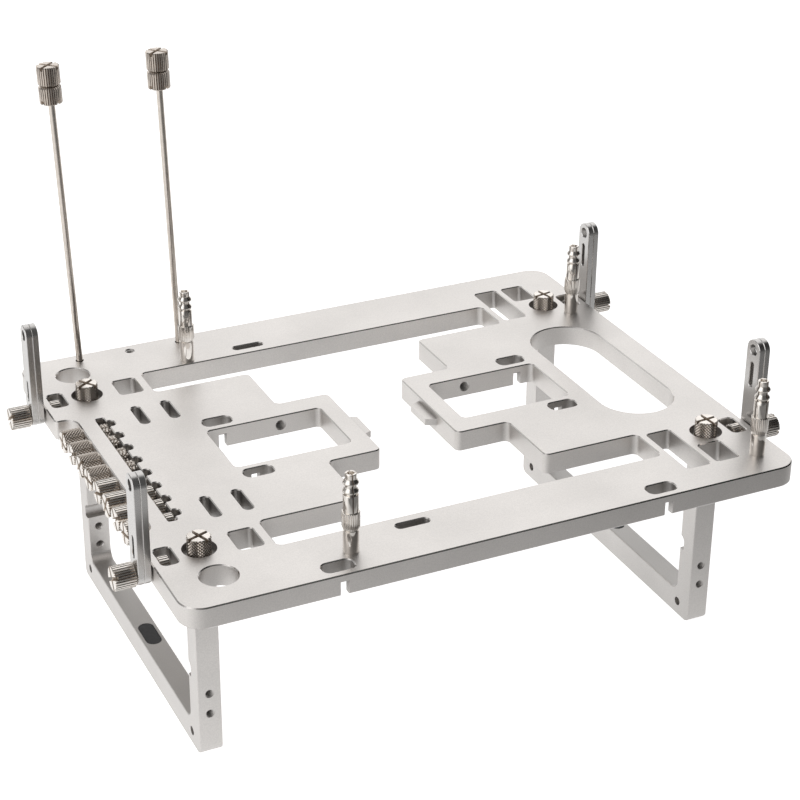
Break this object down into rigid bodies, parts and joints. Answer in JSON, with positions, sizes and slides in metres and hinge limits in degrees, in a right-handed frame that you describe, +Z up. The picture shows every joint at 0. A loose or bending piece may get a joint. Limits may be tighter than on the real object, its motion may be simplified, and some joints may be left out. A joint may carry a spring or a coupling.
{
  "type": "open air test bench",
  "caption": "Small open air computer test bench: slotted metal plate on U-shaped legs, with knurled thumbscrews, board posts, corner uprights and card rods.",
  "frame": {"origin": "on the table, under the centre of the plate", "axes": "+Z up, +X to the right along the plate's long edge, +Y to the back edge with the card rods"},
  "size_m": [0.2546, 0.189, 0.1985],
  "materials": {
    "plate_aluminium": "satin, fine bead-blasted",
    "leg_aluminium": "satin",
    "upright_metal": "satin, brushed along the bar",
    "screw_nickel": "nickel plated, knurled",
    "post_nickel": "nickel plated, turned",
    "rod_steel": "polished rod",
    "black_rubber": "matte"
  },
  "bodies": {
    "bench": {"base_plate": "plate_aluminium", "leg_frame_left": "leg_aluminium", "leg_pad_left": "black_rubber", "leg_frame_right": "leg_aluminium", "leg_pad_right": "black_rubber", "leg_screw_front_left": "screw_nickel", "upright_screw_front_left": "screw_nickel", "upright_nut_front_left": "screw_nickel", "board_post_foot_front_left": "post_nickel", "board_post_catch_front_left": "post_nickel", "leg_screw_front_right": "screw_nickel", "upright_screw_front_right": "screw_nickel", "upright_nut_front_right": "screw_nickel", "board_post_foot_front_right": "post_nickel", "board_post_catch_front_right": "post_nickel", "leg_screw_back_left": "screw_nickel", "upright_screw_back_left": "screw_nickel", "upright_nut_back_left": "screw_nickel", "board_post_foot_back_left": "post_nickel", "board_post_catch_back_left": "post_nickel", "leg_screw_back_right": "screw_nickel", "upright_screw_back_right": "screw_nickel", "upright_nut_back_right": "screw_nickel", "board_post_foot_back_right": "post_nickel", "board_post_catch_back_right": "post_nickel", "spare_screw_1": "screw_nickel", "spare_nut_1": "screw_nickel", "spare_screw_2": "screw_nickel", "spare_nut_2": "screw_nickel", "spare_screw_3": "screw_nickel", "spare_nut_3": "screw_nickel", "spare_screw_4": "screw_nickel", "spare_nut_4": "screw_nickel", "spare_screw_5": "screw_nickel", "spare_nut_5": "screw_nickel", "spare_screw_6": "screw_nickel", "spare_nut_6": "screw_nickel", "spare_screw_7": "screw_nickel", "spare_nut_7": "screw_nickel", "spare_screw_8": "screw_nickel", "spare_nut_8": "screw_nickel", "card_rod_left": "rod_steel", "rod_nut_left": "screw_nickel", "rod_screw_left": "screw_nickel", "card_rod_right": "rod_steel", "rod_nut_right": "screw_nickel", "rod_screw_right": "screw_nickel"},
    "upright_front_left": {"upright_inner_front_left": "upright_metal", "upright_outer_front_left": "upright_metal"},
    "upright_front_right": {"upright_inner_front_right": "upright_metal", "upright_outer_front_right": "upright_metal"},
    "upright_back_left": {"upright_inner_back_left": "upright_metal", "upright_outer_back_left": "upright_metal"},
    "upright_back_right": {"upright_inner_back_right": "upright_metal", "upright_outer_back_right": "upright_metal"}
  },
  "joints": [
    {"name": "upright_front_left_swing", "type": "hinge", "parent": "bench", "child": "upright_front_left", "pos_m": [-0.11735, -0.06025, 0.0751], "axis": [1, 0, 0], "continuous": true},
    {"name": "upright_front_right_swing", "type": "hinge", "parent": "bench", "child": "upright_front_right", "pos_m": [0.11735, -0.06025, 0.0751], "axis": [1, 0, 0], "continuous": true},
    {"name": "upright_back_left_swing", "type": "hinge", "parent": "bench", "child": "upright_back_left", "pos_m": [-0.11735, 0.06025, 0.0751], "axis": [1, 0, 0], "continuous": true},
    {"name": "upright_back_right_swing", "type": "hinge", "parent": "bench", "child": "upright_back_right", "pos_m": [0.11735, 0.06025, 0.0751], "axis": [1, 0, 0], "continuous": true}
  ]
}
